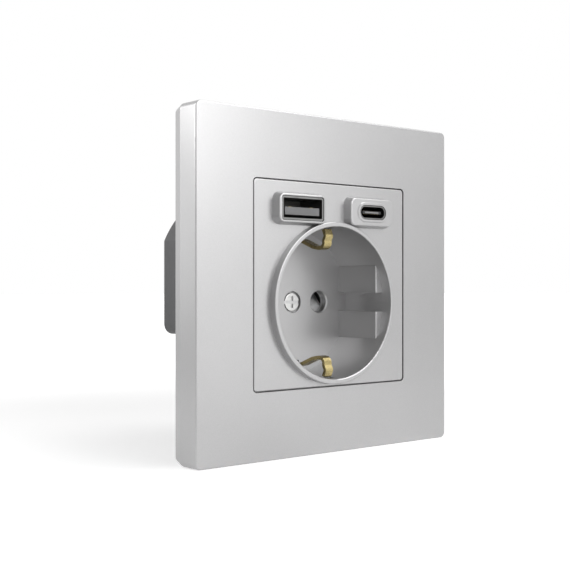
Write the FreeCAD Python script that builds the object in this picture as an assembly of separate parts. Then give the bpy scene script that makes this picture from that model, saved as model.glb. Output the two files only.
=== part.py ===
"""Single flush wall socket with an earthed round recess, a USB-A port and a USB-C port.

The frame of the model is the mounting plane: the origin is the middle of the outer frame's
rear face, which lies on the wall. X is to the right, Z is up and Y goes into the wall, so the
front of the socket has negative Y. All sizes are in millimetres.
"""
import FreeCAD, Part
import math
import os

V = FreeCAD.Vector
INTO_WALL = V(0, 1, 0)
UP = V(0, 0, 1)
POINTS_MEET = 1e-6
SAME_DEPTH = 1e-4
# Reach of a screw head's cross recess, as a share of the head's radius
CROSS_SHARE = 0.62

# Box screws and support bracket
box_screw_spacing = 60.0
box_slot_half_width = 2.0
box_slot_length = 6.5
bracket_edge = 2.15
bracket_t = 1.2
bracket_corner = 8.0
bracket_flange = 3.0
bracket_flange_half = 20.0
bracket_gap = 0.9
window_gap_side = 1.0
window_gap_top = 0.4
window_corner_r = 2.0

# Outer frame
frame_margin = 5.6
frame_depth = 9.3
frame_corner_r = 1.5
frame_edge_r = 0.4
frame_taper_depth = 2.9
frame_taper_in = 0.7
frame_skin = 2.1
frame_wall = 2.0
frame_ledge_width = 1.7
frame_ledge_t = 1.5
frame_rib_t = 1.2
frame_rib_root = 0.2
frame_rib_clearance = 0.6
frame_rib_spread = 17.0
inner_wall_t = 1.45
screw_notch_half = 4.6
screw_notch_depth = 3.4

# Round recess for the plug
recess_z = -4.6
recess_r = 19.5
recess_depth = 17.85
rim_height = 1.85
rim_width = 1.2
rim_flare = 0.1
rim_lip_r = 0.25
pot_wall = 1.5
pot_floor_t = 1.8
pad_depth = 2.7
pad_corner_gap = 0.1
pad_groove = 5.1
pad_ledge_below_front = 1.3
pad_edge_r = 0.3
pin_spacing = 19.0
pin_hole_r = 2.85
pin_hole_chamfer = 0.3

# Centre plate
plate_margin = 0.45
plate_over_housing = 0.85
plate_gap = 0.3
plate_corner_r = 0.9
plate_edge_r = 0.3
skirt_t = 1.3
skirt_gap = 0.25
skirt_clearance = 1.2

# USB ports
port_x = 12.0
port_above_recess = 4.1
port_gap = 0.15
port_back = 0.15
bezel_height = 2.3
bezel_side = 0.75
bezel_brow = 0.6
bezel_flare = 0.6
bezel_corner_r = 1.6
bezel_edge_r = 0.35
usb_a_width = 13.6
usb_a_tall = 5.8
usb_a_sheet = 0.45
usb_a_outer_r = 0.7
usb_a_inner_r = 0.3
usb_a_tongue_side = 0.75
usb_a_tongue_t = 1.88
usb_a_tongue_below = 0.8
usb_a_tongue_back = 0.3
usb_a_window_x = 3.1
usb_a_window_half = 1.1
usb_a_window_back = 3.4
usb_a_window_length = 4.0
usb_a_finger_half = 0.7
usb_a_finger_slit = 0.6
usb_a_contact_half = 0.5
usb_a_contacts_at = ((-3.5, 0.6), (-1.0, 1.6), (1.0, 1.6), (3.5, 0.6))
usb_c_width = 9.2
usb_c_tall = 3.5
usb_c_sheet = 0.3
usb_c_tongue_side = 0.95
usb_c_tongue_t = 0.7
usb_c_tongue_r = 0.2
usb_c_tongue_back = 0.4
usb_c_collar = 0.9
usb_c_collar_height = 0.3
usb_c_collar_taper = 0.25
usb_c_contact_half = 0.2
usb_c_contact_edge = 0.85
usb_c_contact_back = 0.5
usb_c_contact_count = 6
insert_depth = 2.0
insert_gap = 0.05
contact_proud = 0.12

# Boards
power_board_t = 1.6
board_margin = 0.8
board_above_port = 5.0
board_corner_r = 1.0
board_seat = 1.2
board_gap = 0.3
board_edge_gap = 1.0
link_pin = 0.64
link_pitch = 2.0
link_count = 4
link_below_edge = 0.7
link_slot_gap = 0.88

# Parts on the power board; heights run from its lower edge, and cans are radius and length
input_cans = ((-15.4, 3.8, 3.6, 10.5), (-10.9, 9.8, 3.15, 9.5))
output_cans = ((14.6, 3.6, 3.15, 8.5), (10.9, 9.9, 3.15, 8.5))
can_groove_up = 1.0
can_groove_width = 0.6
can_groove_depth = 0.3
can_edge_r = 0.4
transformer_up = 8.2
transformer_width = 12.6
transformer_tall = 11.6
transformer_length = 9.6
core_half_tall = 3.0
core_leg_half = 1.9
core_bay = 2.6
core_yoke = 1.8
bobbin_foot = 1.6
bobbin_gap = 0.2
bobbin_corner_r = 0.6
winding_half_width = 4.3
winding_margin = 0.7
winding_corner_r = 1.2
cheek_half = 4.0
choke_r = 3.0
choke_length = 5.0
choke_flange = 1.0
choke_waist_r = 2.3
choke_clearance = 0.07
choke_angle = 121.2
fuse_r = 1.4
fuse_length = 7.0
fuse_off_board = 2.4
fuse_below_links = 2.9
fuse_lead = 0.6
fuse_lead_x = 5.4
fuse_lead_in = 0.5
chip_corner_r = 0.2
chip_lift = 0.2
chip_top = 1.5
chip_leg_t = 0.5
chip_leg_half = 0.2
chip_leg_reach = 0.5
chip_leg_count = 4
chip_leg_span = 4.5
front_chip = (4.8, 3.2)
front_chip_clearance = 3.8
front_chip_angle = 60.0
rear_chip = (3.4, 2.4)
rear_chip_x = -9.0
rear_chip_up = 4.2

# Socket base and rear housing
housing_wall = 1.6
housing_edge = 0.8
housing_side_wall = 3.6
housing_flat = 2.7
window_side_wall = 4.4
base_pocket_gap = 0.4
base_floor_t = 1.8
base_deck_front = 3.0
base_deck_t = 1.8
spigot_t = 1.2
spigot_depth = 1.6
spigot_gap = 0.15
rear_clearance = 0.7
deep_corner_r = 2.8
step_above_screw = 2.1
barrier_z = 7.2
barrier_t = 1.2
chamber_above_barrier = 0.8
rib_gap = 0.1

# Shutter
cover_t = 1.0
cover_edge = 2.6
cover_hole_gap = 0.25
cover_column_gap = 0.15
shutter_space = 6.0
shutter_gap = 0.25
shutter_plate_t = 1.4
shutter_below = 5.2
shutter_above = 3.5
shutter_past_hole = 0.05
shutter_side = 0.4
shutter_pad_width = 7.0
shutter_pad_below = 3.4
shutter_column_gap = 0.2
ramp_start = -1.0
rail_gap = 0.2
rail_t = 1.7
rail_over = 1.4
rail_above = 5.0
rail_peg_r = 0.8
rail_peg_in = 0.55
rail_peg_gap = 0.1
rail_peg_root = 0.2
spring_wire = 0.45
spring_mean_r = 1.45
spring_turns = 6
spring_side_gap = 0.175
spring_above_wall = 2.45
spring_seat_t = 1.3
spring_end_gap = 0.1

# Fixings
thread_gap = 0.04
centre_shank_r = 1.5
centre_shank_gap = 0.2
centre_shank_short = 0.8
centre_shank_chamfer = 0.4
centre_head_r = 2.5
centre_head_t = 0.85
centre_head_gap = 0.45
centre_counterbore = 1.0
bush_wall = 0.74
bush_gap = 0.02
bush_back = 0.4
bush_groove_from = 2.9
bush_groove_width = 1.0
bush_groove_depth = 0.3
column_wall = 0.9
slot_width = 0.8
slot_depth = 0.45
head_edge_r = 0.25
bracket_screw_r = 1.25
bracket_screw_gap = 0.15
bracket_shank_thinner = 0.2
bracket_screw_head_r = 1.9
bracket_screw_head_t = 1.2
bracket_screw_grip = 3.6
bracket_hole_deeper = 0.6
bracket_screw_inset = 3.1
bracket_screw_upper_z = 8.5
bracket_screw_lower_off = 2.12
bracket_screw_lower_angle = -22.9
housing_screw_inset = 2.6
housing_screw_z = (4.0, -9.0)
housing_screw_r = 1.0
housing_screw_gap = 0.15
housing_screw_head_r = 1.8
housing_screw_head_t = 1.3
housing_screw_bite = 5.5
housing_screw_reach = 5.3
housing_hole_smaller = 0.1
housing_column_wall = 2.0
housing_counterbore_gap = 0.3

# Contacts and terminals
strip_t = 0.8
strap_width = 5.0
strap_hole_smaller = 0.05
jaw_width = 5.6
jaw_length = 9.6
jaw_root_half = 3.6
jaw_grip_half = 2.5
jaw_grip_share = 0.72
contact_corner_r = 1.0
contact_gap = 0.5
solder_tab_half = 1.8
solder_tab_over = 2.0
solder_tab_gap = 0.1
earth_strap_t = 0.9
earth_hole_gap = 0.6
earth_notch_side = 0.9
earth_notch_over = 2.0
clip_width = 2.5
clip_bend_r = 0.7
clip_slot_half = 2.2
clip_root_in = 2.3
clip_root_half = 0.9
clip_slot_near = 3.9
clip_slot_far = 1.1
clip_wall_slot_from = 1.5
clip_wall_slot_to = 3.5
terminal_beyond_pin = 2.0
terminal_top = -13.0
terminal_height = 6.6
terminal_width = 6.4
terminal_depth = 5.9
terminal_edge = 0.4
wire_hole_r = 1.7
wire_hole_end = 0.4
wire_hole_behind_base = 2.8
wire_guide_gap = 0.5
terminal_screw_r = 1.75
terminal_screw_below = 4.2
terminal_tip_gap = 0.15
terminal_head_r = 2.5
terminal_head_t = 1.2
terminal_head_gap = 0.2
screw_access_gap = 0.5

# One earth clip from its tip to its root: depth behind the front face, and how far inside the
# recess wall it lies, where a negative number lies outside the wall
clip_shape = ((2.4, 0.55), (1.65, 2.2), (2.3, 3.35), (2.25, 4.3), (2.95, 5.1), (4.2, 5.35), (6.6, 4.95),
              (10.9, 3.3))
clip_foot = (0.6, 2.3)

# Places across the front, worked out from the sizes above
pin_x = pin_spacing / 2
terminal_x = pin_x + terminal_beyond_pin
bracket_size = box_screw_spacing + box_slot_length + 2 * bracket_edge
frame_half = bracket_size / 2 + frame_margin + frame_wall
rim_outer_r = recess_r + rim_width
rim_base_r = rim_outer_r + rim_flare
pot_outer_r = recess_r + pot_wall
pocket_r = pot_outer_r + base_pocket_gap
pocket_wall_r = pocket_r + housing_wall
pad_half_width = recess_r - pad_depth
pad_half_height = math.sqrt(recess_r ** 2 - pad_half_width ** 2) - pad_corner_gap
port_z = recess_z + recess_r + port_above_recess
bezel_width = usb_a_width + 2 * bezel_side
bezel_tall = usb_a_tall + 2 * bezel_brow
port_board_half = port_x + usb_a_width / 2 + board_margin
port_board_top = port_z + board_above_port
window_half_width = port_board_half + window_gap_side
window_top = port_board_top + window_gap_top
link_z = port_board_top - link_below_edge
housing_half_width = max(pocket_r + housing_side_wall, window_half_width + window_side_wall)
housing_r = housing_half_width + housing_flat
plate_half = max(rim_base_r - recess_z + plate_margin, housing_half_width + plate_over_housing)
opening_half = plate_half + plate_gap
ledge_half = opening_half - frame_ledge_width
shutter_half_width = pin_x + shutter_pad_width / 2 + shutter_side
shutter_travel = shutter_above + pin_hole_r + shutter_past_hole
rail_inner = shutter_half_width + rail_gap
rail_peg_x = rail_inner + rail_peg_in
spring_reach = spring_mean_r + spring_wire / 2
spring_length = (math.sqrt(pocket_r ** 2 - (pin_x + spring_reach) ** 2)
                 - shutter_pad_below - spring_above_wall)
column_hole_r = centre_shank_r + thread_gap + bush_wall + bush_gap
bush_r = column_hole_r - bush_gap
column_r = column_hole_r + column_wall
centre_counterbore_r = centre_head_r + centre_head_gap
cover_hole_r = pin_hole_r + cover_hole_gap
cover_r = pin_x + cover_hole_r + cover_edge
strap_hole_r = pin_hole_r - strap_hole_smaller
contact_head_half = jaw_root_half + strip_t
earth_middle_half = pin_x - contact_head_half - contact_gap
clip_root_r = recess_r - clip_root_in
power_board_bottom = barrier_z + barrier_t + board_edge_gap
solder_tab_top = power_board_bottom + solder_tab_over
terminal_bottom = terminal_top - terminal_height
terminal_screw_z = terminal_bottom + terminal_screw_below
deep_block_bottom = terminal_screw_z + step_above_screw
wire_guide_r = wire_hole_r + wire_guide_gap
screw_access_r = terminal_head_r + screw_access_gap
usb_a_tongue_width = usb_a_width - 2 * (usb_a_sheet + usb_a_tongue_side)
usb_c_tongue_width = usb_c_width - 2 * (usb_c_sheet + usb_c_tongue_side)
usb_c_contact_pitch = (usb_c_tongue_width - 2 * usb_c_contact_edge) / (usb_c_contact_count - 1)
usb_a_tongue_bottom = port_z - usb_a_tall / 2 + usb_a_sheet + usb_a_tongue_below

# Depths, measured from the wall plane
front = -frame_depth
plate_rear = front + frame_skin
rim_front = front - rim_height
bezel_front = front - bezel_height
bracket_front = -bracket_t
skirt_rear = bracket_front - bracket_screw_head_t - skirt_clearance
frame_rib_rear = bracket_front - bracket_flange - frame_rib_clearance
pot_floor_front = rim_front + recess_depth
pot_floor_rear = pot_floor_front + pot_floor_t
cover_rear = pot_floor_rear + cover_t
base_floor_front = cover_rear + shutter_space
base_floor_rear = base_floor_front + base_floor_t
shutter_rear = base_floor_front - shutter_gap
shutter_front = shutter_rear - shutter_plate_t
shutter_pad_front = cover_rear + shutter_gap
spring_y = shutter_front - spring_side_gap - spring_reach
chamber_front = base_deck_front + base_deck_t
component_face = base_floor_rear + power_board_t
deep_block_rear = component_face + input_cans[0][3] + rear_clearance + housing_wall
terminal_rear = base_floor_rear + strip_t + terminal_depth
low_block_rear = terminal_rear + housing_wall
wire_hole_y = base_floor_rear + wire_hole_behind_base
housing_counterbore_floor = base_floor_rear + housing_screw_reach
usb_a_front = bezel_front + port_back
collar_front = bezel_front - usb_c_collar_height
usb_c_front = collar_front + port_back


def block(x0, x1, y0, y1, z0, z1):
    """Plain box between two corners, given in any order."""
    x0, x1 = sorted((x0, x1))
    y0, y1 = sorted((y0, y1))
    z0, z1 = sorted((z0, z1))
    return Part.makeBox(x1 - x0, y1 - y0, z1 - z0, V(x0, y0, z0))


def rod(x, z, r, y0, y1):
    """Round bar along Y."""
    return Part.makeCylinder(r, y1 - y0, V(x, y0, z), INTO_WALL)


def ring(x, z, r_in, r_out, y0, y1):
    """Round tube along Y."""
    return rod(x, z, r_out, y0, y1).cut(rod(x, z, r_in, y0, y1))


def bore_from_below(x, y, r, z_top):
    """Round hole along Z, from under the housing up to a height."""
    return Part.makeCylinder(r, housing_r + z_top, V(x, y, -housing_r), UP)


def around_recess(reach, degrees):
    """X and Z of a point at a distance and a direction from the recess axis."""
    angle = math.radians(degrees)
    return reach * math.cos(angle), recess_z + reach * math.sin(angle)


def rounded_wire(cx, cz, width, tall, r, y):
    """Rectangle with round corners, drawn in the plane of one depth."""
    w = width / 2
    h = tall / 2
    k = r * (1 - math.sqrt(0.5))
    corners = ((1, 1), (-1, 1), (-1, -1), (1, -1))
    ends = []
    arcs = []
    for index, (sx, sz) in enumerate(corners):
        on_side = V(cx + sx * w, y, cz + sz * (h - r))
        on_top = V(cx + sx * (w - r), y, cz + sz * h)
        middle = V(cx + sx * (w - k), y, cz + sz * (h - k))
        first, last = (on_side, on_top) if index % 2 == 0 else (on_top, on_side)
        ends.append((first, last))
        arcs.append(Part.Arc(first, middle, last).toShape())
    edges = []
    for index in range(4):
        edges.append(arcs[index])
        here = ends[index][1]
        there = ends[(index + 1) % 4][0]
        if here.distanceToPoint(there) > POINTS_MEET:
            edges.append(Part.LineSegment(here, there).toShape())
    return Part.Wire(edges)


def slab(cx, cz, width, tall, r, y0, y1):
    """Rounded rectangle of even thickness along Y."""
    face = Part.Face(rounded_wire(cx, cz, width, tall, r, y0))
    return face.extrude(V(0, y1 - y0, 0))


def stadium(cx, cz, width, tall, y0, y1):
    """Slot shape with round ends, of even thickness along Y."""
    return slab(cx, cz, width, tall, tall / 2, y0, y1)


def square(half, r, y0, y1):
    """Rounded square about the origin, from one depth to another."""
    return slab(0, 0, 2 * half, 2 * half, r, y0, y1)


def flared(cx, cz, front_size, rear_size, r_front, r_rear, y0, y1):
    """Rounded rectangle that grows or shrinks evenly between two depths."""
    near = rounded_wire(cx, cz, front_size[0], front_size[1], r_front, y0)
    far = rounded_wire(cx, cz, rear_size[0], rear_size[1], r_rear, y1)
    return Part.makeLoft([near, far], True, True)


def outline_prism(points, y0, y1):
    """Straight-sided outline in X and Z, extruded along Y."""
    corners = [V(x, y0, z) for x, z in points]
    return Part.Face(Part.makePolygon(corners + corners[:1])).extrude(V(0, y1 - y0, 0))


def edges_at_depth(shape, y):
    """Edges that lie wholly in one plane of constant Y."""
    found = []
    for edge in shape.Edges:
        bounds = edge.BoundBox
        if abs(bounds.YMin - y) < SAME_DEPTH and abs(bounds.YMax - y) < SAME_DEPTH:
            found.append(edge)
    return found


def unit(vector):
    """Unit vector of a pair of numbers."""
    size = math.hypot(vector[0], vector[1])
    return (vector[0] / size, vector[1] / size)


def offset_points(points, distance):
    """Points of an open line moved sideways, with mitred corners."""
    runs = [unit((b[0] - a[0], b[1] - a[1])) for a, b in zip(points, points[1:])]
    normals = [(-u[1], u[0]) for u in runs]
    moved = []
    for index, point in enumerate(points):
        before = normals[max(index - 1, 0)]
        after = normals[min(index, len(normals) - 1)]
        share = distance / (1 + before[0] * after[0] + before[1] * after[1])
        moved.append((point[0] + share * (before[0] + after[0]),
                      point[1] + share * (before[1] + after[1])))
    return moved


def bent_line(points, radii, place):
    """Edges of an open line whose inner corners are rounded."""
    edges = []
    start = points[0]
    for index in range(1, len(points) - 1):
        corner = points[index]
        u_in = unit((corner[0] - points[index - 1][0], corner[1] - points[index - 1][1]))
        u_out = unit((points[index + 1][0] - corner[0], points[index + 1][1] - corner[1]))
        turn = math.acos(max(-1.0, min(1.0, u_in[0] * u_out[0] + u_in[1] * u_out[1])))
        radius = radii[index - 1]
        back = radius * math.tan(turn / 2)
        first = (corner[0] - back * u_in[0], corner[1] - back * u_in[1])
        last = (corner[0] + back * u_out[0], corner[1] + back * u_out[1])
        inward = unit((u_out[0] - u_in[0], u_out[1] - u_in[1]))
        reach = radius / math.cos(turn / 2) - radius
        middle = (corner[0] + reach * inward[0], corner[1] + reach * inward[1])
        edges.append(Part.LineSegment(place(start), place(first)).toShape())
        edges.append(Part.Arc(place(first), place(middle), place(last)).toShape())
        start = last
    edges.append(Part.LineSegment(place(start), place(points[-1])).toShape())
    return edges


def strip_face(points, thickness, bend, place):
    """Section of a bent metal strip: a centreline, its thickness and its bend radius."""
    half = thickness / 2
    left = offset_points(points, half)
    right = offset_points(points, -half)
    bend_left = []
    bend_right = []
    for a, b, c in zip(points, points[1:], points[2:]):
        turns_left = (b[0] - a[0]) * (c[1] - b[1]) - (b[1] - a[1]) * (c[0] - b[0]) > 0
        bend_left.append(bend - half if turns_left else bend + half)
        bend_right.append(bend + half if turns_left else bend - half)
    edges = bent_line(left, bend_left, place)
    edges.append(Part.LineSegment(place(left[-1]), place(right[-1])).toShape())
    edges += bent_line(right[::-1], bend_right[::-1], place)
    edges.append(Part.LineSegment(place(right[0]), place(left[0])).toShape())
    return Part.Face(Part.Wire(Part.__sortEdges__(edges)))


def housing_section(inset, y0, y1):
    """Round body with two flat sides, taken in by an inset."""
    half = housing_half_width - inset
    return rod(0, 0, housing_r - inset, y0, y1).common(
        block(-half, half, y0, y1, -housing_r, housing_r))


def drive_recess(x, z, r, y, cross_arm):
    """Straight screwdriver slot with a cross recess, cut one slot depth along Y."""
    slot_half = slot_width / 2
    across = block(x - r, x + r, y, y + slot_depth, z - slot_half, z + slot_half)
    upright = block(x - slot_half, x + slot_half, y, y + slot_depth, z - cross_arm, z + cross_arm)
    return across.fuse(upright)


def bracket_screw_places():
    """X and Z of the screws on the right: one beside the port window, one beside the recess."""
    upper = (housing_half_width - bracket_screw_inset, bracket_screw_upper_z)
    lower = around_recess(pot_outer_r + bracket_screw_lower_off, bracket_screw_lower_angle)
    return (upper, lower)


def housing_screw_places():
    """X and Z of the four screws that close the rear housing."""
    x = housing_half_width - housing_screw_inset
    return [(side * x, z) for side in (-1, 1) for z in housing_screw_z]


def terminal_front(x):
    """Depth of the metal that a terminal sits on."""
    return base_floor_rear + (earth_strap_t if x == 0 else strip_t)


def outer_frame():
    """Hollow moulded frame: front skin, tapered outer wall, seat for the centre plate and ribs."""
    taper_front = -frame_taper_depth
    body = square(frame_half, frame_corner_r, front, taper_front)
    body = body.makeFillet(frame_edge_r, edges_at_depth(body, front))
    full = 2 * frame_half
    tail = full - 2 * frame_taper_in
    body = body.fuse(flared(0, 0, (full, full), (tail, tail), frame_corner_r, frame_corner_r,
                            taper_front, 0))
    hollow_half = frame_half - frame_wall
    inner_half = opening_half + inner_wall_t
    hollow = square(hollow_half, frame_corner_r / 2, plate_rear, 0)
    hollow = hollow.cut(square(inner_half, plate_corner_r + inner_wall_t, plate_rear, bracket_front))
    ledge_rear = plate_rear + frame_ledge_t
    opening_r = plate_corner_r + plate_gap
    cuts = [hollow,
            square(opening_half, opening_r, front, plate_rear),
            square(ledge_half, plate_corner_r, plate_rear, ledge_rear),
            square(opening_half, opening_r, ledge_rear, 0),
            rod(0, recess_z, pot_outer_r + skirt_gap, plate_rear, ledge_rear)]
    for side in (-1, 1):
        notch_x = side * (opening_half + inner_wall_t / 2)
        cuts.append(block(notch_x - inner_wall_t, notch_x + inner_wall_t,
                          bracket_front - screw_notch_depth, 0, -screw_notch_half, screw_notch_half))
    ribs = []
    for side in (-1, 1):
        near = side * (inner_half - frame_rib_root)
        far = side * (hollow_half + frame_rib_root)
        for along in (-frame_rib_spread, frame_rib_spread):
            low = along - frame_rib_t / 2
            high = along + frame_rib_t / 2
            ribs.append(block(near, far, plate_rear - frame_rib_root, frame_rib_rear, low, high))
            ribs.append(block(low, high, plate_rear - frame_rib_root, frame_rib_rear, near, far))
    return body.cut(cuts).fuse(ribs).removeSplitter()


def pot_shell():
    """Revolved recess: rounded rim, straight wall and flat floor."""
    lip = rim_lip_r
    k = lip * (1 - math.sqrt(0.5))

    def place(point):
        return V(point[0], point[1], recess_z)

    def arc(first, middle, last):
        return Part.Arc(place(first), place(middle), place(last)).toShape()

    path = [(rim_outer_r, rim_front + lip), (rim_base_r, front), (rim_base_r, plate_rear),
            (pot_outer_r, plate_rear), (pot_outer_r, pot_floor_rear), (0, pot_floor_rear),
            (0, pot_floor_front), (recess_r, pot_floor_front), (recess_r, rim_front + lip)]
    edges = [Part.LineSegment(place((recess_r + lip, rim_front)),
                              place((rim_outer_r - lip, rim_front))).toShape()]
    edges.append(arc((rim_outer_r - lip, rim_front), (rim_outer_r - k, rim_front + k),
                     (rim_outer_r, rim_front + lip)))
    for a, b in zip(path, path[1:]):
        edges.append(Part.LineSegment(place(a), place(b)).toShape())
    edges.append(arc((recess_r, rim_front + lip), (recess_r + k, rim_front + k),
                     (recess_r + lip, rim_front)))
    return Part.Face(Part.Wire(edges)).revolve(V(0, 0, recess_z), INTO_WALL, 360)


def guide_pads():
    """Flat guides on the left and right of the recess wall, each with a groove along it."""
    y0 = front + pad_ledge_below_front
    y1 = pot_floor_front
    inside = rod(0, recess_z, recess_r + pot_wall / 2, y0, y1)
    pads = []
    for side in (-1, 1):
        face_x = side * pad_half_width
        for end in (-1, 1):
            pad = block(face_x, side * pot_outer_r, y0, y1, recess_z + end * pad_groove / 2,
                        recess_z + end * pad_half_height)
            lead_in = [edge for edge in edges_at_depth(pad, y0)
                       if all(abs(vertex.X - face_x) < POINTS_MEET for vertex in edge.Vertexes)]
            pads.append(pad.makeFillet(pad_edge_r, lead_in).common(inside))
    return pads


def bezel(x):
    """Raised block round one port, with flared sides and a rounded front edge."""
    rear_size = (bezel_width + 2 * bezel_flare, bezel_tall + 2 * bezel_flare)
    rear_r = bezel_corner_r + bezel_flare
    body = flared(x, port_z, (bezel_width, bezel_tall), rear_size, bezel_corner_r, rear_r,
                  bezel_front, front)
    body = body.makeFillet(bezel_edge_r, edges_at_depth(body, bezel_front))
    return body.fuse(slab(x, port_z, rear_size[0], rear_size[1], rear_r, front, plate_rear))


def port_collar():
    """Low collar round the USB-C slot, on the front of its bezel."""
    foot = (usb_c_width + 2 * usb_c_collar, usb_c_tall + 2 * usb_c_collar)
    face = (foot[0] - 2 * usb_c_collar_taper, foot[1] - 2 * usb_c_collar_taper)
    return flared(port_x, port_z, face, foot, face[1] / 2, foot[1] / 2, collar_front, bezel_front)


def port_cuts():
    """Openings of the two ports: a rectangle for A and a slot for C."""
    port_a = slab(-port_x, port_z, usb_a_width + 2 * port_gap, usb_a_tall + 2 * port_gap,
                  usb_a_outer_r, bezel_front, plate_rear)
    port_c = stadium(port_x, port_z, usb_c_width + 2 * port_gap, usb_c_tall + 2 * port_gap,
                     collar_front, plate_rear)
    return [port_a, port_c]


def centre_plate():
    """Front moulding in one piece: plate, skirt, recess, guides and port bezels."""
    skin = square(plate_half, plate_corner_r, front, plate_rear)
    skin = skin.makeFillet(plate_edge_r, edges_at_depth(skin, front))
    skirt_half = ledge_half - skirt_gap
    skirt = square(skirt_half, plate_corner_r, plate_rear, skirt_rear)
    skirt = skirt.cut(square(skirt_half - skirt_t, plate_corner_r / 2, plate_rear, skirt_rear))
    body = skin.fuse([skirt, bezel(-port_x), bezel(port_x), port_collar()])
    body = body.cut(rod(0, recess_z, recess_r, collar_front, pot_floor_front))
    body = body.fuse([pot_shell()] + guide_pads()).cut(port_cuts())
    cuts = [rod(0, recess_z, centre_counterbore_r, pot_floor_front, pot_floor_front + centre_counterbore),
            rod(0, recess_z, centre_shank_r + centre_shank_gap, pot_floor_front, pot_floor_rear)]
    for side in (-1, 1):
        x = side * pin_x
        cuts.append(rod(x, recess_z, pin_hole_r, pot_floor_front, pot_floor_rear))
        cuts.append(Part.makeCone(pin_hole_r + pin_hole_chamfer, pin_hole_r, pin_hole_chamfer,
                                  V(x, pot_floor_front, recess_z), INTO_WALL))
        cuts.append(block(-clip_slot_half, clip_slot_half, pot_floor_front, pot_floor_rear,
                          recess_z + side * (recess_r - clip_slot_near),
                          recess_z + side * (recess_r - clip_slot_far)))
        cuts.append(block(-clip_slot_half, clip_slot_half,
                          front + clip_wall_slot_from, front + clip_wall_slot_to,
                          recess_z + side * (recess_r - rim_width / 2),
                          recess_z + side * (pot_outer_r + skirt_gap)))
    return body.cut(cuts).removeSplitter()


def earth_strap():
    """Earth contact in one strip: cross strap behind the base floor and a spring clip at each end."""
    strap_y = base_floor_rear + earth_strap_t / 2

    def place(point):
        return V(-clip_width / 2, point[0], recess_z + point[1])

    clip = [(front + depth, recess_r - inside) for depth, inside in clip_shape]
    clip.append((pot_floor_front - clip_foot[0], recess_r - clip_foot[1]))
    clip.append((strap_y, clip_root_r))
    lower = [(y, -r) for y, r in clip]
    face = strip_face(lower + clip[::-1], earth_strap_t, clip_bend_r, place)
    strip = face.extrude(V(clip_width, 0, 0))
    rear = base_floor_rear + earth_strap_t
    middle = slab(0, recess_z, 2 * earth_middle_half, 2 * earth_middle_half, contact_corner_r,
                  base_floor_rear, rear)
    foot = block(-strap_width / 2, strap_width / 2, base_floor_rear, rear,
                 recess_z - clip_root_r + clip_bend_r, recess_z)
    hole = rod(0, recess_z, bush_r + earth_hole_gap, base_floor_rear, rear)
    return strip.fuse([middle, foot]).cut(hole).removeSplitter()


def pin_contact(side):
    """Live or neutral contact: strap with a pin hole, two sprung jaws and a solder tab."""
    x = side * pin_x
    y0 = base_floor_rear
    y1 = y0 + strip_t
    body = slab(x, recess_z, 2 * contact_head_half, 2 * contact_head_half, contact_corner_r, y0, y1)
    leg_x = side * terminal_x
    leg = block(leg_x - strap_width / 2, leg_x + strap_width / 2, y0, y1, terminal_bottom, recess_z)
    tab = block(x - solder_tab_half, x + solder_tab_half, y0, y1, recess_z, solder_tab_top)
    body = body.fuse([leg, tab])
    grip = jaw_grip_half + strip_t / 2
    points = [(jaw_root_half, y1 - strip_t / 2), (jaw_root_half, y1 + strip_t),
              (grip, y1 + jaw_length * jaw_grip_share), (jaw_root_half, y1 + jaw_length)]
    for way in (-1, 1):
        def place(point):
            return V(x + way * point[0], point[1], recess_z - jaw_width / 2)

        body = body.fuse(strip_face(points, strip_t, strip_t, place).extrude(V(0, 0, jaw_width)))
    return body.cut(rod(x, recess_z, strap_hole_r, y0, y1)).removeSplitter()


def terminal_block(x):
    """Brass terminal: blind wire hole from below and a tapped hole from behind."""
    half = terminal_width / 2
    body = block(x - half, x + half, terminal_front(x), terminal_rear, terminal_bottom, terminal_top)
    upright = [edge for edge in body.Edges if edge.BoundBox.ZLength > terminal_height / 2]
    body = body.makeChamfer(terminal_edge, upright)
    wire_hole = Part.makeCylinder(wire_hole_r, terminal_height - wire_hole_end,
                                  V(x, wire_hole_y, terminal_bottom), UP)
    screw_hole = rod(x, terminal_screw_z, terminal_screw_r + thread_gap, wire_hole_y, terminal_rear)
    return body.cut([wire_hole, screw_hole])


def terminal_screw(x):
    """Clamping screw of one terminal, backed off until the wire hole is clear."""
    tip = wire_hole_y + wire_hole_r + terminal_tip_gap
    head = terminal_rear + terminal_head_gap
    top = head + terminal_head_t
    body = rod(x, terminal_screw_z, terminal_screw_r, tip, head)
    body = body.fuse(rod(x, terminal_screw_z, terminal_head_r, head, top))
    body = body.makeFillet(head_edge_r, edges_at_depth(body, top))
    return body.cut(drive_recess(x, terminal_screw_z, terminal_head_r, top - slot_depth,
                                 terminal_head_r * CROSS_SHARE))


def centre_screw():
    """Screw in the middle of the recess, with a slot and a cross in its head."""
    head_front = pot_floor_front + centre_counterbore - centre_head_t
    head_rear = head_front + centre_head_t
    tip = base_floor_rear - centre_shank_short
    cap = rod(0, recess_z, centre_head_r, head_front, head_rear)
    cap = cap.makeFillet(head_edge_r, edges_at_depth(cap, head_front))
    shank = rod(0, recess_z, centre_shank_r, head_rear, tip)
    shank = shank.makeChamfer(centre_shank_chamfer, edges_at_depth(shank, tip))
    recess = drive_recess(0, recess_z, centre_head_r, head_front, centre_head_r * CROSS_SHARE)
    return cap.fuse(shank).cut(recess).removeSplitter()


def screw_bush():
    """Tapped brass bush moulded into the base for the centre screw."""
    y0 = pot_floor_rear + bush_back
    groove = y0 + bush_groove_from
    body = ring(0, recess_z, centre_shank_r + thread_gap, bush_r, y0, base_floor_rear)
    return body.cut(ring(0, recess_z, bush_r - bush_groove_depth, bush_r + bush_groove_depth,
                         groove, groove + bush_groove_width))


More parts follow.
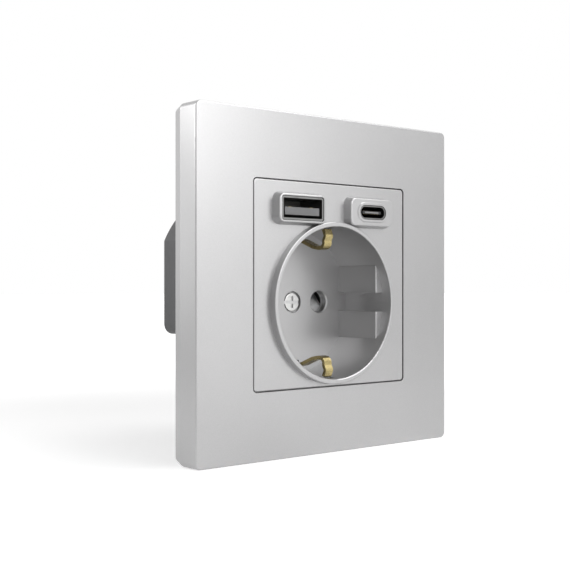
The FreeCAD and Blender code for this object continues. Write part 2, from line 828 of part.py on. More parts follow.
def shutter_cover():
    """Thin disc that keeps the shutter in the base when the front is off."""
    disc = rod(0, recess_z, cover_r, pot_floor_rear, cover_rear)
    cuts = [rod(0, recess_z, column_r + cover_column_gap, pot_floor_rear, cover_rear)]
    for side in (-1, 1):
        cuts.append(rod(side * pin_x, recess_z, cover_hole_r, pot_floor_rear, cover_rear))
        cuts.append(rod(side * rail_peg_x, recess_z, rail_peg_r + rail_peg_gap,
                        pot_floor_rear, cover_rear))
    return disc.cut(cuts)


def shutter():
    """Sliding safety shutter: one plate with a sloping block in front of each pin contact."""
    top = recess_z + shutter_above
    body = block(-shutter_half_width, shutter_half_width, shutter_front, shutter_rear,
                 recess_z - shutter_below, top)
    fork_half = column_r + shutter_column_gap
    fork = block(-fork_half, fork_half, shutter_front, shutter_rear, recess_z, top)
    body = body.cut([fork, rod(0, recess_z, fork_half, shutter_front, shutter_rear)])
    outline = [(shutter_pad_front, -shutter_pad_below), (shutter_pad_front, ramp_start),
               (shutter_front, shutter_above), (shutter_front, -shutter_pad_below)]
    for side in (-1, 1):
        x0 = side * pin_x - shutter_pad_width / 2
        corners = [V(x0, y, recess_z + z) for y, z in outline]
        section = Part.Face(Part.makePolygon(corners + corners[:1]))
        body = body.fuse(section.extrude(V(shutter_pad_width, 0, 0)))
    return body.removeSplitter()


def shutter_springs():
    """Two coil springs below the shutter's sloping blocks."""
    wire_r = spring_wire / 2
    rise = spring_length - spring_wire - spring_end_gap
    start_z = recess_z - shutter_pad_below - spring_length + wire_r
    coils = []
    for side in (-1, 1):
        start = V(side * pin_x, spring_y, start_z)
        path = Part.makeHelix(rise / spring_turns, rise, spring_mean_r)
        path.translate(start)
        section = Part.Wire(Part.makeCircle(wire_r, start + V(spring_mean_r, 0, 0), V(0, 1, 0)))
        coils.append(Part.Wire(path).makePipeShell([section], True, True))
    return Part.makeCompound(coils)


def base_additions():
    """What stands up inside the base: screw column, shutter rails, cover pegs and spring seats."""
    seat_top = recess_z - shutter_pad_below - spring_length
    rail_bottom = recess_z - shutter_below - shutter_travel - rail_over
    seat_half = spring_reach + spring_wire / 2
    added = [rod(0, recess_z, column_r, pot_floor_rear, base_floor_front)]
    for side in (-1, 1):
        x = side * pin_x
        added.append(block(side * rail_inner, side * (rail_inner + rail_t), cover_rear,
                           base_floor_front, rail_bottom, recess_z + rail_above))
        added.append(rod(side * rail_peg_x, recess_z, rail_peg_r, pot_floor_rear,
                         cover_rear + rail_peg_root))
        added.append(block(x - seat_half, x + seat_half, spring_y - seat_half, base_floor_front,
                           seat_top - spring_seat_t, seat_top))
    return added


def base_holes():
    """Holes of the base: bush, pins, clips, bracket and housing screws, wires and link pins."""
    rear = base_floor_rear + spigot_depth
    holes = [rod(0, recess_z, column_hole_r, pot_floor_rear, base_floor_rear)]
    for side in (-1, 1):
        holes.append(rod(side * pin_x, recess_z, cover_hole_r, base_floor_front, base_floor_rear))
        holes.append(block(-clip_slot_half, clip_slot_half, base_floor_front, base_floor_rear,
                           recess_z + side * (clip_root_r - clip_root_half),
                           recess_z + side * (clip_root_r + clip_root_half)))
        for x, z in bracket_screw_places():
            holes.append(rod(side * x, z, bracket_screw_r - bracket_screw_gap, 0,
                             bracket_screw_grip + bracket_hole_deeper))
    for x, z in housing_screw_places():
        holes.append(rod(x, z, housing_screw_r - housing_hole_smaller,
                         base_floor_rear - housing_screw_bite - housing_screw_gap, rear))
        holes.append(rod(x, z, housing_screw_r + housing_column_wall + spigot_gap,
                         base_floor_rear, rear))
    for x in (-terminal_x, 0, terminal_x):
        holes.append(bore_from_below(x, wire_hole_y, wire_guide_r, terminal_bottom))
    slot_side = link_pin / 2 + link_slot_gap
    slot_half = link_pitch * (link_count - 1) / 2 + slot_side
    holes.append(block(-slot_half, slot_half, base_deck_front, chamber_front,
                       link_z - slot_side, link_z + slot_side))
    return holes


def socket_base():
    """Moulded base: pocket for the recess, board seat, shutter rails, floor with contact slots."""
    rear = base_floor_rear + spigot_depth
    body = housing_section(0, 0, base_floor_rear)
    spigot_inset = housing_wall + spigot_gap
    spigot = housing_section(spigot_inset, base_floor_rear, rear)
    spigot = spigot.cut(housing_section(spigot_inset + spigot_t, base_floor_rear, rear))
    pocket = rod(0, recess_z, pocket_r, 0, base_floor_front)
    seat_half = port_board_half - board_seat
    port_pocket = block(-seat_half, seat_half, 0, base_deck_front, 0, housing_r)
    port_pocket = port_pocket.common(housing_section(housing_wall, 0, base_deck_front))
    chamber = housing_section(housing_wall, chamber_front, base_floor_rear)
    below = block(-housing_r, housing_r, chamber_front, base_floor_rear,
                  -housing_r, barrier_z + chamber_above_barrier)
    chamber = chamber.cut([below, rod(0, recess_z, pocket_wall_r, chamber_front, base_floor_rear)])
    body = body.fuse(spigot).cut([pocket, port_pocket, chamber])
    return body.fuse(base_additions()).cut(base_holes()).removeSplitter()


def rear_block(inset):
    """Rear housing body in two steps: deep upper block and shallow terminal block."""
    y0 = base_floor_rear
    deep = housing_section(inset, y0, deep_block_rear - inset)
    tall = 2 * housing_r
    bottom = deep_block_bottom + inset
    trim = slab(0, bottom + tall / 2, 2 * (housing_half_width - inset), tall, deep_corner_r - inset,
                y0, deep_block_rear)
    low = housing_section(inset, y0, low_block_rear - inset)
    low = low.common(block(-housing_r, housing_r, y0, deep_block_rear, -housing_r,
                           deep_block_bottom + deep_corner_r))
    return deep.common(trim).fuse(low)


def rear_housing():
    """Rear cover: stepped shell with screw columns, barrier rib, wire guides and screw access."""
    outer = rear_block(0).removeSplitter()
    outer = outer.makeChamfer(housing_edge, edges_at_depth(outer, deep_block_rear))
    body = outer.cut(rear_block(housing_wall))
    inner_rear = deep_block_rear - rib_gap
    added = [block(-housing_r, housing_r, base_floor_rear + spigot_depth, inner_rear,
                   barrier_z, barrier_z + barrier_t)]
    holes = []
    for x, z in housing_screw_places():
        added.append(rod(x, z, housing_screw_r + housing_column_wall, base_floor_rear, inner_rear))
        holes.append(rod(x, z, housing_screw_r + housing_screw_gap, base_floor_rear,
                         housing_counterbore_floor))
        holes.append(rod(x, z, housing_screw_head_r + housing_counterbore_gap,
                         housing_counterbore_floor, deep_block_rear))
    body = body.fuse([piece.common(outer) for piece in added])
    for x in (-terminal_x, 0, terminal_x):
        holes.append(rod(x, terminal_screw_z, screw_access_r, low_block_rear - 2 * housing_wall,
                         low_block_rear))
        holes.append(bore_from_below(x, wire_hole_y, wire_guide_r, terminal_bottom))
    return body.cut(holes).removeSplitter()


def support_bracket():
    """Stamped steel plate with folded edges, a window for the insert and two box-screw slots."""
    half = bracket_size / 2
    c = bracket_corner
    outline = [(half, half - c), (half - c, half), (c - half, half), (-half, half - c),
               (-half, c - half), (c - half, -half), (half - c, -half), (half, c - half)]
    flanges = []
    for end in (-1, 1):
        flanges.append(block(-bracket_flange_half, bracket_flange_half,
                             bracket_front - bracket_flange, bracket_front,
                             end * half, end * (half - bracket_t)))
    body = outline_prism(outline, bracket_front, 0).fuse(flanges)
    cuts = [rod(0, recess_z, pot_outer_r + bracket_gap, bracket_front, 0),
            slab(0, window_top / 2, 2 * window_half_width, window_top, window_corner_r,
                 bracket_front, 0)]
    for side in (-1, 1):
        cuts.append(stadium(side * box_screw_spacing / 2, 0, box_slot_length,
                            2 * box_slot_half_width, bracket_front, 0))
        for x, z in bracket_screw_places():
            cuts.append(rod(side * x, z, bracket_screw_r + bracket_screw_gap, bracket_front, 0))
    return body.cut(cuts).removeSplitter()


def bracket_screws():
    """Four screws that hold the base behind the bracket."""
    head_front = bracket_front - bracket_screw_head_t
    arm = bracket_screw_head_r * CROSS_SHARE
    screws = []
    for side in (-1, 1):
        for place_x, z in bracket_screw_places():
            x = side * place_x
            cap = rod(x, z, bracket_screw_head_r, head_front, bracket_front)
            cap = cap.makeFillet(head_edge_r, edges_at_depth(cap, head_front))
            shank = rod(x, z, bracket_screw_r - bracket_shank_thinner, bracket_front,
                        bracket_screw_grip)
            screws.append(cap.fuse(shank).cut(drive_recess(x, z, arm, head_front, arm)))
    return Part.makeCompound(screws)


def housing_screws():
    """Four long-reach screws that close the rear housing onto the base."""
    head_front = housing_counterbore_floor
    head_rear = head_front + housing_screw_head_t
    arm = housing_screw_head_r * CROSS_SHARE
    shank_r = housing_screw_r - housing_screw_gap
    screws = []
    for x, z in housing_screw_places():
        cap = rod(x, z, housing_screw_head_r, head_front, head_rear)
        shank = rod(x, z, shank_r, base_floor_rear - housing_screw_bite, head_front)
        screws.append(cap.fuse(shank).cut(drive_recess(x, z, arm, head_rear - slot_depth, arm)))
    return Part.makeCompound(screws)


def usb_a_shell():
    """Folded steel shell of the USB-A receptacle, with two spring windows in each broad face."""
    inside = (usb_a_width - 2 * usb_a_sheet, usb_a_tall - 2 * usb_a_sheet)
    outer = slab(-port_x, port_z, usb_a_width, usb_a_tall, usb_a_outer_r, usb_a_front, bracket_front)
    cuts = [slab(-port_x, port_z, inside[0], inside[1], usb_a_inner_r, usb_a_front, bracket_front)]
    window_front = usb_a_front + usb_a_window_back
    window_rear = window_front + usb_a_window_length
    low = port_z - usb_a_tall
    high = port_z + usb_a_tall
    for side in (-1, 1):
        x = -port_x + side * usb_a_window_x
        window = block(x - usb_a_window_half, x + usb_a_window_half, window_front, window_rear, low, high)
        finger = block(x - usb_a_finger_half, x + usb_a_finger_half, window_front + usb_a_finger_slit,
                       window_rear, low, high)
        cuts.append(window.cut(finger))
    return outer.cut(cuts)


def usb_a_insert():
    """Moulded insulator of the USB-A receptacle: rear block and tongue."""
    width = usb_a_width - 2 * (usb_a_sheet + insert_gap)
    tall = usb_a_tall - 2 * (usb_a_sheet + insert_gap)
    body = slab(-port_x, port_z, width, tall, usb_a_inner_r + insert_gap, bracket_front - insert_depth,
                bracket_front)
    tongue = block(-port_x - usb_a_tongue_width / 2, -port_x + usb_a_tongue_width / 2,
                   usb_a_front + usb_a_tongue_back, bracket_front,
                   usb_a_tongue_bottom, usb_a_tongue_bottom + usb_a_tongue_t)
    return body.fuse(tongue).removeSplitter()


def usb_a_contacts():
    """Four contact strips on the upper face of the tongue."""
    top = usb_a_tongue_bottom + usb_a_tongue_t
    strips = []
    for offset, back in usb_a_contacts_at:
        x = -port_x + offset
        strips.append(block(x - usb_a_contact_half, x + usb_a_contact_half,
                            usb_a_front + usb_a_tongue_back + back, bracket_front - insert_depth,
                            top, top + contact_proud))
    return Part.makeCompound(strips)


def usb_c_shell():
    """Drawn steel shell of the USB-C receptacle."""
    outer = stadium(port_x, port_z, usb_c_width, usb_c_tall, usb_c_front, bracket_front)
    return outer.cut(stadium(port_x, port_z, usb_c_width - 2 * usb_c_sheet,
                             usb_c_tall - 2 * usb_c_sheet, usb_c_front, bracket_front))


def usb_c_insert():
    """Moulded insulator of the USB-C receptacle: rear block and thin tongue."""
    smaller = 2 * (usb_c_sheet + insert_gap)
    body = stadium(port_x, port_z, usb_c_width - smaller, usb_c_tall - smaller,
                   bracket_front - insert_depth, bracket_front)
    tongue = slab(port_x, port_z, usb_c_tongue_width, usb_c_tongue_t, usb_c_tongue_r,
                  usb_c_front + usb_c_tongue_back, bracket_front)
    return body.fuse(tongue).removeSplitter()


def usb_c_contacts():
    """Contact pads on both faces of the thin tongue."""
    y0 = usb_c_front + usb_c_tongue_back + usb_c_contact_back
    face = usb_c_tongue_t / 2
    pads = []
    for side in (-1, 1):
        for index in range(usb_c_contact_count):
            x = port_x + (index - (usb_c_contact_count - 1) / 2) * usb_c_contact_pitch
            pads.append(block(x - usb_c_contact_half, x + usb_c_contact_half, y0,
                              bracket_front - insert_depth, port_z + side * face,
                              port_z + side * (face + contact_proud / 2)))
    return Part.makeCompound(pads)


def port_board():
    """Small circuit board behind the two ports, cut away round the recess."""
    body = slab(0, port_board_top / 2, 2 * port_board_half, port_board_top, board_corner_r,
                bracket_front, 0)
    return body.cut(rod(0, recess_z, pot_outer_r + bracket_gap, bracket_front, 0)).Solids[0]


def power_board():
    """Main circuit board on the rear of the base, notched for the earth strap and the tabs."""
    y0 = base_floor_rear
    y1 = component_face
    body = housing_section(housing_wall + spigot_gap + spigot_t + board_gap, y0, y1)
    body = body.cut(block(-housing_r, housing_r, y0, y1, -housing_r, power_board_bottom))
    strap_half = earth_middle_half + earth_notch_side
    cuts = [block(-strap_half, strap_half, y0, y1, 0, recess_z + clip_root_r + earth_notch_over)]
    tab_half = solder_tab_half + solder_tab_gap
    for side in (-1, 1):
        x = side * pin_x
        cuts.append(block(x - tab_half, x + tab_half, y0, y1, 0, solder_tab_top))
    return body.cut(cuts)


def can(x, up, r, length):
    """Electrolytic capacitor standing on the power board, with its crimped neck."""
    z = power_board_bottom + up
    y0 = component_face
    groove = y0 + can_groove_up
    body = rod(x, z, r, y0, y0 + length)
    body = body.makeFillet(can_edge_r, edges_at_depth(body, y0 + length))
    return body.cut(ring(x, z, r - can_groove_depth, r + can_groove_depth,
                         groove, groove + can_groove_width))


def input_capacitors():
    """Two smoothing capacitors on the mains side."""
    return Part.makeCompound([can(*sizes) for sizes in input_cans])


def output_capacitors():
    """Two filter capacitors on the low-voltage side."""
    return Part.makeCompound([can(*sizes) for sizes in output_cans])


def transformer_core():
    """Ferrite core: a flat loop round the bobbin with a centre leg."""
    z = power_board_bottom + transformer_up
    half = transformer_width / 2
    y0 = component_face + bobbin_foot
    y1 = component_face + transformer_length
    body = block(-half, half, y0, y1, z - core_half_tall, z + core_half_tall)
    bays = []
    for side in (-1, 1):
        bays.append(block(side * core_leg_half, side * (core_leg_half + core_bay), y0 + core_yoke,
                          y1 - core_yoke, z - core_half_tall, z + core_half_tall))
    return body.cut(bays)


def transformer_winding():
    """Bobbin with its winding, round the core's centre leg."""
    z = power_board_bottom + transformer_up
    foot_rear = component_face + bobbin_foot
    y0 = foot_rear + core_yoke + bobbin_gap
    y1 = component_face + transformer_length - core_yoke - bobbin_gap
    winding_half = transformer_tall / 2 - winding_margin
    leg_half = core_leg_half + bobbin_gap / 2
    leg_tall = core_half_tall + bobbin_gap / 2
    coil = slab(0, z, 2 * winding_half_width, 2 * winding_half, winding_corner_r, y0, y1)
    coil = coil.cut(block(-leg_half, leg_half, y0, y1, z - leg_tall, z + leg_tall))
    foot = slab(0, z, transformer_width, transformer_tall, bobbin_corner_r, component_face, foot_rear)
    cheeks = [block(-cheek_half, cheek_half, foot_rear, y0, z + end * leg_tall, z + end * winding_half)
              for end in (-1, 1)]
    return coil.fuse([foot] + cheeks).removeSplitter()


def choke():
    """Drum-core choke on the front of the power board, beside the recess."""
    x, z = around_recess(pocket_wall_r + choke_r + choke_clearance, choke_angle)
    y1 = base_floor_rear
    y0 = y1 - choke_length
    waist = ring(x, z, choke_waist_r, choke_r + choke_clearance, y0 + choke_flange, y1 - choke_flange)
    return rod(x, z, choke_r, y0, y1).cut(waist)


def fuse_resistor():
    """Fusible resistor lying across the board, with bent leads down to it."""
    y = base_floor_rear - fuse_off_board
    z = link_z - fuse_below_links
    half = fuse_length / 2

    def place(point):
        return V(point[0], point[1], z - fuse_lead / 2)

    points = [(-fuse_lead_x, base_floor_rear), (-fuse_lead_x, y), (fuse_lead_in - half, y)]
    lead = strip_face(points, fuse_lead, fuse_lead, place).extrude(V(0, 0, fuse_lead))
    mirrored = lead.mirror(V(0, 0, 0), V(1, 0, 0))
    body = Part.makeCylinder(fuse_r, fuse_length, V(-half, y, z), V(1, 0, 0))
    return body.fuse([lead, mirrored]).removeSplitter()


def chip(x, z, size, face, way):
    """Flat chip package with a row of legs, on one face of the power board."""
    width, tall = size
    y0, y1 = sorted((face + way * chip_lift, face + way * chip_top))
    body = slab(x, z, width, tall, chip_corner_r, y0, y1)
    reach = tall / 2 + chip_leg_reach
    legs = []
    for index in range(chip_leg_count):
        leg_x = x + (index - (chip_leg_count - 1) / 2) * width / chip_leg_span
        legs.append(block(leg_x - chip_leg_half, leg_x + chip_leg_half, face, face + way * chip_leg_t,
                          z - reach, z + reach))
    return body.fuse(legs).removeSplitter()


def control_chips():
    """Port controller on the front of the power board and converter chip on its rear."""
    x, z = around_recess(pocket_wall_r + front_chip_clearance, front_chip_angle)
    rear_z = power_board_bottom + rear_chip_up
    return Part.makeCompound([chip(x, z, front_chip, base_floor_rear, -1),
                              chip(rear_chip_x, rear_z, rear_chip, component_face, 1)])


def board_link_pins():
    """Row of pins that joins the port board to the power board."""
    half = link_pin / 2
    pins = []
    for index in range(link_count):
        x = (index - (link_count - 1) / 2) * link_pitch
        pins.append(block(x - half, x + half, 0, base_floor_rear, link_z - half, link_z + half))
    return Part.makeCompound(pins)


NODES = {
    "outer_frame": outer_frame,
    "centre_plate": centre_plate,
    "centre_screw": centre_screw,
    "screw_bush": screw_bush,
    "shutter_cover": shutter_cover,
    "shutter": shutter,
    "shutter_springs": shutter_springs,
    "usb_a_shell": usb_a_shell,
    "usb_a_insert": usb_a_insert,
    "usb_a_contacts": usb_a_contacts,
    "usb_c_shell": usb_c_shell,
    "usb_c_insert": usb_c_insert,
    "usb_c_contacts": usb_c_contacts,
    "port_board": port_board,
    "board_link_pins": board_link_pins,
    "power_board": power_board,
    "transformer_core": transformer_core,
    "transformer_winding": transformer_winding,
    "input_capacitors": input_capacitors,
    "output_capacitors": output_capacitors,
    "choke": choke,
    "fuse_resistor": fuse_resistor,
    "control_chips": control_chips,
    "support_bracket": support_bracket,
    "bracket_screws": bracket_screws,
    "socket_base": socket_base,
    "live_contact": lambda: pin_contact(-1),
    "neutral_contact": lambda: pin_contact(1),
    "earth_strap": earth_strap,
    "live_terminal": lambda: terminal_block(-terminal_x),
    "neutral_terminal": lambda: terminal_block(terminal_x),
    "earth_terminal": lambda: terminal_block(0),
    "live_screw": lambda: terminal_screw(-terminal_x),
    "neutral_screw": lambda: terminal_screw(terminal_x),
    "earth_screw": lambda: terminal_screw(0),
    "rear_housing": rear_housing,
    "housing_screws": housing_screws,
}


def main():
    os.makedirs("parts", exist_ok=True)
    for name, make in NODES.items():
        shape = make()
        shape.exportStep("parts/" + name + ".step")
        print(name, "solids", len(shape.Solids), "valid", shape.isValid(), "volume", round(shape.Volume, 1))


main()
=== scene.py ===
"""Looks of a flush wall socket with an earthed recess, a USB-A port and a USB-C port.

The solids come packed as a fixed frame. This script gives each of them its finish, winds the
choke's copper wire, and sets up a pale floor, soft studio light and the camera. All sizes are in
metres.
"""
import math

import bmesh
import bpy
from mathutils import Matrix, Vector


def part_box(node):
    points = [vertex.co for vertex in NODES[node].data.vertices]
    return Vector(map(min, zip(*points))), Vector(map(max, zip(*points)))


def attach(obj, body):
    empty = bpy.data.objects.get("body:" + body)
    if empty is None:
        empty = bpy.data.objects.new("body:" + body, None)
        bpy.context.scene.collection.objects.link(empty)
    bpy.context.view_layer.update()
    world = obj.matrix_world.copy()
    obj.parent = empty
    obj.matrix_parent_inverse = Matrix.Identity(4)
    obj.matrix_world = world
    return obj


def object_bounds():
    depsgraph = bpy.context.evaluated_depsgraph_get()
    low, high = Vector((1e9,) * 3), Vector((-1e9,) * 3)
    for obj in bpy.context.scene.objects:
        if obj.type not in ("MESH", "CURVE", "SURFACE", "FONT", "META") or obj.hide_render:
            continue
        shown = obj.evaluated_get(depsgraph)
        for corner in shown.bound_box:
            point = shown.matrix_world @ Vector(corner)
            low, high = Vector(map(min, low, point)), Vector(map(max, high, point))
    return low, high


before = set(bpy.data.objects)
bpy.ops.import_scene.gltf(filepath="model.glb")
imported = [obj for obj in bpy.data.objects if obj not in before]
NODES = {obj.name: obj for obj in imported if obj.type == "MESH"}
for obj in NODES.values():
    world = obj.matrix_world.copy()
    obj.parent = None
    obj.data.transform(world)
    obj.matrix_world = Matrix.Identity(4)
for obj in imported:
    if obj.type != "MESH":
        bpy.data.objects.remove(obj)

bl_info = {
    "name": "Wall Socket Looks",
    "version": (1, 0, 0),
    "blender": (4, 5, 0),
    "location": "View3D > Sidebar > Socket",
    "description": "Finishes, wire work, studio and camera for a wall socket with two USB ports",
    "category": "Object",
}

BOX_AT_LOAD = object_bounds()
MM = 0.001

# Where most values of a noise lie
NOISE_LOW = 0.3
NOISE_HIGH = 0.7

# Share of the slow drift in the lacquer's flakes
DRIFT_SHARE = 0.25

# Scale of the wave that draws a turned head's rings, about 1 mm apart
RING_SCALE = 312.5

# Rolling lines run along X, Y or Z
ALONG_X = (12, 1, 1)
ALONG_Y = (1, 12, 1)
ALONG_Z = (1, 1, 12)

# Painted shade in a screw's drive recess starts at this depth in its head
RECESS_SHADE_EDGE = 0.10 * MM

# The pale band on the USB-C tongue's tip, and the black of the rest
BAND_HALF_WIDTH = 2.45 * MM
BAND_HALF_HEIGHT = 0.20 * MM
BAND_DEPTH = (0.1 * MM, 0.5 * MM)
TONGUE_BLACK = (0.018, 0.018, 0.019)

# The choke that carries the winding, and how the wire lies on it
CHOKE_FLANGE = 1.0 * MM
CHOKE_WAIST_RADIUS = 2.3 * MM
COIL_END_GAP = 0.05 * MM
COIL_LIFT = 0.6
WIRE_SIDES = 8

# The floor: its gap under the socket, its glow, and where it turns white
FLOOR_GAP = 0.02 * MM
FLOOR_GLOW = 0.52
FLOOR_NEAR = 0.11
FLOOR_FAR = 0.30
WHITE = 1.0

# Mouldings on the boards: finish, colour, grain, roughness and the nodes that have it
BOARD_MOULDINGS = (
    ("ferrite_grey", (0.045, 0.045, 0.048), 0.3 * MM, 0.55, ("transformer_core", "choke")),
    ("winding_tape", (0.62, 0.45, 0.06), 0.6 * MM, 0.35, ("transformer_winding",)),
    ("capacitor_sleeve", (0.02, 0.025, 0.04), 0.4 * MM, 0.25,
     ("input_capacitors", "output_capacitors")),
    ("resistor_body", (0.10, 0.26, 0.30), 0.2 * MM, 0.45, ("fuse_resistor",)),
    ("chip_epoxy", (0.02, 0.02, 0.021), 0.1 * MM, 0.5, ("control_chips",)),
)

# Soft boxes: direction in degrees to the right of straight on and upwards, distance, width, power
SOFT_BOXES = (
    ("key_box", 10, 25, 0.25, 0.1375, 0.144),
    ("low_box", 25, 5, 0.25, 0.1375, 0.044),
    ("front_box", -10, 35, 0.30, 0.165, 0.090),
    ("right_box", 40, 40, 0.30, 0.165, 0.090),
    ("high_right_box", 55, 60, 0.35, 0.1925, 0.355),
    ("left_box", -112, 25, 0.20, 0.060, 0.100),
    ("left_rear_box", -125, 25, 0.20, 0.060, 0.024),
    ("left_low_box", -140, 5, 0.20, 0.060, 0.008),
)


class SocketFinishes(bpy.types.PropertyGroup):
    """Colours and gloss of the parts that show."""
    silver: bpy.props.FloatVectorProperty(
        name="Silver lacquer", description="Colour of the frame and the centre plate",
        subtype="COLOR", size=3, min=0, max=1, default=(0.474, 0.472, 0.475))
    silver_metal: bpy.props.FloatProperty(
        name="Silver metal share", description="How metallic the silver lacquer is",
        subtype="FACTOR", min=0, max=1, default=0.8)
    silver_roughness: bpy.props.FloatProperty(
        name="Silver roughness", description="Roughness of the silver lacquer",
        subtype="FACTOR", min=0, max=1, default=0.34)
    flake_size: bpy.props.FloatProperty(
        name="Flake size", description="Size of the metal flakes in the lacquer",
        subtype="DISTANCE", unit="LENGTH", min=0.00002, max=0.001, default=0.00012)
    housing: bpy.props.FloatVectorProperty(
        name="Housing grey", description="Colour of the rear housing",
        subtype="COLOR", size=3, min=0, max=1, default=(0.10, 0.10, 0.103))
    shutter: bpy.props.FloatVectorProperty(
        name="Shutter grey", description="Colour of the safety shutter",
        subtype="COLOR", size=3, min=0, max=1, default=(0.72, 0.72, 0.725))
    clip_brass: bpy.props.FloatVectorProperty(
        name="Clip brass", description="Colour of the earth clips",
        subtype="COLOR", size=3, min=0, max=1, default=(0.42, 0.345, 0.165))


class SocketWireWork(bpy.types.PropertyGroup):
    """Sizes of the wound wire on the choke."""
    wire: bpy.props.FloatProperty(
        name="Wire", description="Diameter of the choke's copper wire",
        subtype="DISTANCE", unit="LENGTH", min=0.0001, max=0.001, default=0.0003)
    segments: bpy.props.IntProperty(
        name="Steps a turn", description="Straight steps in one turn of wire",
        min=12, max=96, default=32)


class SocketStage(bpy.types.PropertyGroup):
    """Camera, floor and light."""
    camera_place: bpy.props.FloatVectorProperty(
        name="Camera place", description="Where the camera stands",
        subtype="TRANSLATION", unit="LENGTH", size=3, default=(-0.1849, -0.2100, 0.0))
    camera_turn: bpy.props.FloatProperty(
        name="Camera turn", description="How far the camera looks to the right of straight on",
        subtype="ANGLE", default=math.radians(40.07))
    camera_angle: bpy.props.FloatProperty(
        name="Angle of view", description="Width of the camera's view",
        subtype="ANGLE", default=math.radians(30.07))
    floor_size: bpy.props.FloatProperty(
        name="Floor size", description="Width of the floor",
        subtype="DISTANCE", unit="LENGTH", min=0.5, default=8.0)
    world_level: bpy.props.FloatProperty(
        name="World level", description="Strength of the even light from all sides",
        min=0, max=2, default=0.12)


GROUPS = (
    ("socket_finishes", SocketFinishes),
    ("socket_wire_work", SocketWireWork),
    ("socket_stage", SocketStage),
)


def middle(node):
    """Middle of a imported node's box."""
    low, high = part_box(node)
    return (low + high) / 2


def scaled(colour, factor):
    """A colour made lighter or darker."""
    return tuple(min(1.0, channel * factor) for channel in colour)


class Finish:
    """A material in the making, whose patterns lie on Object coordinates."""

    def __init__(self, name, colour, roughness, metal=0.0):
        self.material = bpy.data.materials.new(name)
        self.material.use_nodes = True
        self.tree = self.material.node_tree
        self.shader = self.tree.nodes["Principled BSDF"]
        self.shader.inputs["Base Color"].default_value = (*colour, 1)
        self.shader.inputs["Roughness"].default_value = roughness
        self.shader.inputs["Metallic"].default_value = metal
        self.coordinates = self.tree.nodes.new("ShaderNodeTexCoord").outputs["Object"]

    def node(self, kind, **values):
        """A new node with its plain settings."""
        made = self.tree.nodes.new(kind)
        for key, value in values.items():
            setattr(made, key, value)
        return made

    def link(self, output, target):
        """Joins an output to an input."""
        self.tree.links.new(output, target)

    def place(self, centre=(0, 0, 0), stretch=(1, 1, 1)):
        """Object coordinates, centred on a point and stretched along the axes."""
        mapping = self.node("ShaderNodeMapping", vector_type="TEXTURE")
        mapping.inputs["Location"].default_value = centre
        mapping.inputs["Scale"].default_value = stretch
        self.link(self.coordinates, mapping.inputs["Vector"])
        return mapping.outputs["Vector"]

    def along(self, axis):
        """The Object coordinate along one axis."""
        split = self.node("ShaderNodeSeparateXYZ")
        self.link(self.coordinates, split.inputs["Vector"])
        return split.outputs[axis]

    def noise(self, size, detail=2.0, where=None):
        """Soft noise whose blots have about the given size."""
        made = self.node("ShaderNodeTexNoise")
        made.inputs["Scale"].default_value = 1 / size
        made.inputs["Detail"].default_value = detail
        self.link(where or self.coordinates, made.inputs["Vector"])
        return made.outputs["Fac"]

    def spread(self, source, low, high):
        """A noise's middle range turned into values between low and high."""
        made = self.node("ShaderNodeMapRange")
        made.inputs["From Min"].default_value = NOISE_LOW
        made.inputs["From Max"].default_value = NOISE_HIGH
        made.inputs["To Min"].default_value = low
        made.inputs["To Max"].default_value = high
        self.link(source, made.inputs["Value"])
        return made.outputs["Result"]

    def rise(self, source, begin, end, top=1.0):
        """A smooth rise from 0 where the source is at the beginning to the top at the end."""
        made = self.node("ShaderNodeMapRange", interpolation_type="SMOOTHSTEP")
        made.inputs["From Min"].default_value = begin
        made.inputs["From Max"].default_value = end
        made.inputs["To Max"].default_value = top
        self.link(source, made.inputs["Value"])
        return made.outputs["Result"]

    def beyond(self, axis, centre, half, soft):
        """How far a place lies outside a band along an axis: 0 inside it and 1 outside."""
        shift = self.node("ShaderNodeMath", operation="SUBTRACT")
        shift.inputs[1].default_value = centre
        self.link(self.along(axis), shift.inputs[0])
        away = self.node("ShaderNodeMath", operation="ABSOLUTE")
        self.link(shift.outputs[0], away.inputs[0])
        return self.rise(away.outputs[0], half - soft, half + soft)

    def tint(self, source, *stops):
        """Colour of the surface from a pattern: pairs of place and colour."""
        ramp = self.node("ShaderNodeValToRGB")
        elements = ramp.color_ramp.elements
        elements[0].position, elements[1].position = stops[0][0], stops[-1][0]
        elements[0].color, elements[1].color = (*stops[0][1], 1), (*stops[-1][1], 1)
        for position, colour in stops[1:-1]:
            elements.new(position).color = (*colour, 1)
        self.link(source, ramp.inputs["Fac"])
        self.link(ramp.outputs["Color"], self.shader.inputs["Base Color"])

    def shade(self, share, colour):
        """Another colour where the share is 1, over the tint that the surface has."""
        mix = self.node("ShaderNodeMix", data_type="RGBA")
        base = self.shader.inputs["Base Color"]
        self.link(share, mix.inputs["Factor"])
        self.link(base.links[0].from_socket, mix.inputs["A"])
        mix.inputs["B"].default_value = (*colour, 1)
        self.link(mix.outputs["Result"], base)

    def gloss(self, source, low, high):
        """Roughness of the surface from a pattern."""
        self.link(self.spread(source, low, high), self.shader.inputs["Roughness"])

    def relief(self, source, depth, strength):
        """Fine relief of the surface from a pattern, over any relief that it has."""
        bump = self.node("ShaderNodeBump")
        bump.inputs["Strength"].default_value = strength
        bump.inputs["Distance"].default_value = depth
        self.link(source, bump.inputs["Height"])
        earlier = self.shader.inputs["Normal"]
        if earlier.is_linked:
            self.link(earlier.links[0].from_socket, bump.inputs["Normal"])
        self.link(bump.outputs["Normal"], earlier)

    def wear(self, *nodes):
        """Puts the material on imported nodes."""
        for name in nodes:
            slots = NODES[name].data.materials
            slots.clear()
            slots.append(self.material)


